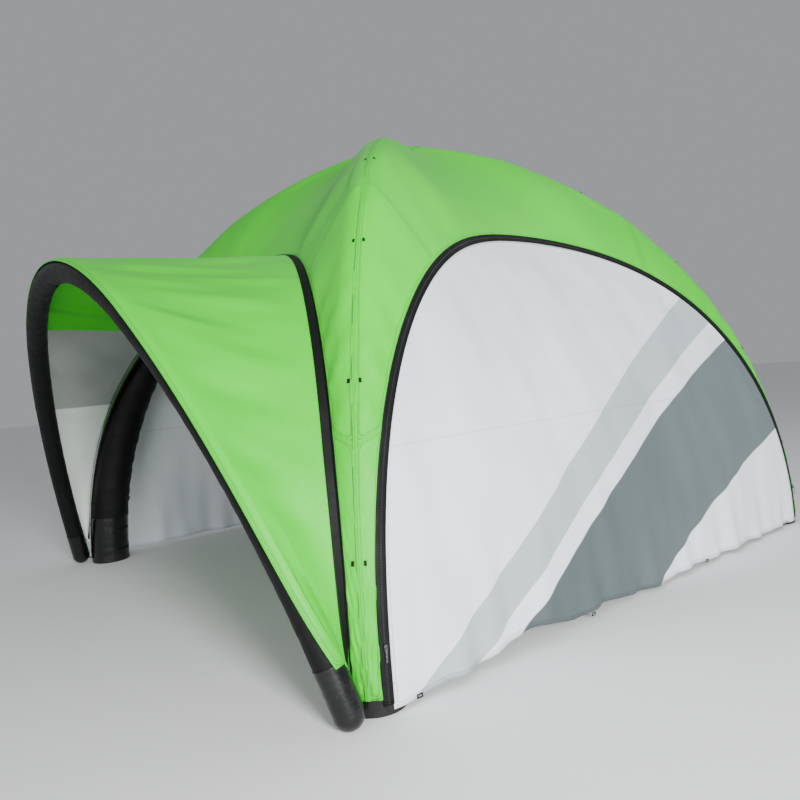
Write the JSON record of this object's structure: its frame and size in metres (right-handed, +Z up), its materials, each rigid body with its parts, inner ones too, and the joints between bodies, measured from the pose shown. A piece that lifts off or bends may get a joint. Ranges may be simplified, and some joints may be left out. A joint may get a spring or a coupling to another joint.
{
  "type": "inflatable dome event tent",
  "caption": "Four-legged inflatable dome tent with green roof cover, zipped side walls and a leaning inflatable porch arch.",
  "frame": {"origin": "middle of the plan's bounding box, on the ground", "axes": "+Z up, +X towards the side with the long printed wall, -Y towards the porch; mirror plane X = 0"},
  "size_m": [5.038, 5.6774, 3.8889],
  "materials": {
    "black_fabric": "matte",
    "green_fabric": "satin",
    "white_print": "satin",
    "bladder": "satin",
    "boot_vinyl": "gloss",
    "valve_plastic": "satin",
    "zip_metal": "satin",
    "zip_tape": "matte",
    "webbing": "matte"
  },
  "bodies": {
    "tent": {"leg_sleeve_back_right": "black_fabric", "leg_bladder_back_right": "bladder", "leg_boot_back_right": "boot_vinyl", "valve_back_right": "valve_plastic", "leg_sleeve_back_left": "black_fabric", "leg_bladder_back_left": "bladder", "leg_boot_back_left": "boot_vinyl", "valve_back_left": "valve_plastic", "leg_sleeve_front_left": "black_fabric", "leg_bladder_front_left": "bladder", "leg_boot_front_left": "boot_vinyl", "valve_front_left": "valve_plastic", "leg_sleeve_front_right": "black_fabric", "leg_bladder_front_right": "bladder", "leg_boot_front_right": "boot_vinyl", "valve_front_right": "valve_plastic", "roof_panel_right": "green_fabric", "zip_band_right": "zip_tape", "wall_right": "white_print", "roof_panel_back": "green_fabric", "zip_band_back": "zip_tape", "wall_back": "white_print", "roof_panel_left": "green_fabric", "zip_band_left": "zip_tape", "wall_left": "white_print", "roof_panel_front": "green_fabric", "zip_band_front": "zip_tape", "crown_cap": "green_fabric", "hem_loops": "webbing", "crest_tabs": "webbing", "foot_tabs": "webbing"},
    "valve_cap_back_right": {"valve_cap_back_right": "valve_plastic"},
    "valve_cap_back_left": {"valve_cap_back_left": "valve_plastic"},
    "valve_cap_front_left": {"valve_cap_front_left": "valve_plastic"},
    "valve_cap_front_right": {"valve_cap_front_right": "valve_plastic"},
    "zip_slider_right_a": {"zip_slider_right_a": "zip_metal"},
    "zip_slider_right_b": {"zip_slider_right_b": "zip_metal"},
    "zip_slider_back_a": {"zip_slider_back_a": "zip_metal"},
    "zip_slider_back_b": {"zip_slider_back_b": "zip_metal"},
    "zip_slider_left_a": {"zip_slider_left_a": "zip_metal"},
    "zip_slider_left_b": {"zip_slider_left_b": "zip_metal"},
    "porch": {"porch_sleeve": "black_fabric", "porch_bladder": "bladder", "porch_boot_right": "boot_vinyl", "porch_boot_left": "boot_vinyl", "porch_canopy": "green_fabric", "valve_porch": "valve_plastic"},
    "valve_cap_porch": {"valve_cap_porch": "valve_plastic"}
  },
  "joints": [
    {"name": "porch_fold", "type": "hinge", "parent": "tent", "child": "porch", "pos_m": [0, -2.19495, 0.079], "axis": [-1, 0, 0], "range_deg": [0, 12], "deforming": ["porch_canopy"]},
    {"name": "valve_cap_back_right_lift", "type": "hinge", "parent": "tent", "child": "valve_cap_back_right", "pos_m": [2.13309, 2.48714, 0.58553], "axis": [0.7071, -0.7071, 0], "range_deg": [0, 115]},
    {"name": "valve_cap_back_left_lift", "type": "hinge", "parent": "tent", "child": "valve_cap_back_left", "pos_m": [-2.13309, 2.48714, 0.58553], "axis": [0.7071, 0.7071, 0], "range_deg": [0, 115]},
    {"name": "valve_cap_front_left_lift", "type": "hinge", "parent": "tent", "child": "valve_cap_front_left", "pos_m": [-2.13309, -1.77904, 0.58553], "axis": [-0.7071, 0.7071, 0], "range_deg": [0, 115]},
    {"name": "valve_cap_front_right_lift", "type": "hinge", "parent": "tent", "child": "valve_cap_front_right", "pos_m": [2.13309, -1.77904, 0.58553], "axis": [-0.7071, -0.7071, 0], "range_deg": [0, 115]},
    {"name": "valve_cap_porch_lift", "type": "hinge", "parent": "porch", "child": "valve_cap_porch", "pos_m": [2.21249, -2.29633, 0.52886], "axis": [0, 0.9755, 0.2198], "range_deg": [0, 115]},
    {"name": "zip_slider_right_a_run", "type": "slide", "parent": "tent", "child": "zip_slider_right_a", "axis": [-0.0908, -0.111, 0.9897], "range_m": [0, 0.25]},
    {"name": "zip_slider_right_b_run", "type": "slide", "parent": "tent", "child": "zip_slider_right_b", "axis": [-0.0908, 0.111, 0.9897], "range_m": [0, 0.25]},
    {"name": "zip_slider_back_a_run", "type": "slide", "parent": "tent", "child": "zip_slider_back_a", "axis": [0.111, -0.0908, 0.9897], "range_m": [0, 0.25]},
    {"name": "zip_slider_back_b_run", "type": "slide", "parent": "tent", "child": "zip_slider_back_b", "axis": [-0.111, -0.0908, 0.9897], "range_m": [0, 0.25]},
    {"name": "zip_slider_left_a_run", "type": "slide", "parent": "tent", "child": "zip_slider_left_a", "axis": [0.0908, 0.111, 0.9897], "range_m": [0, 0.25]},
    {"name": "zip_slider_left_b_run", "type": "slide", "parent": "tent", "child": "zip_slider_left_b", "axis": [0.0908, -0.111, 0.9897], "range_m": [0, 0.25]}
  ]
}
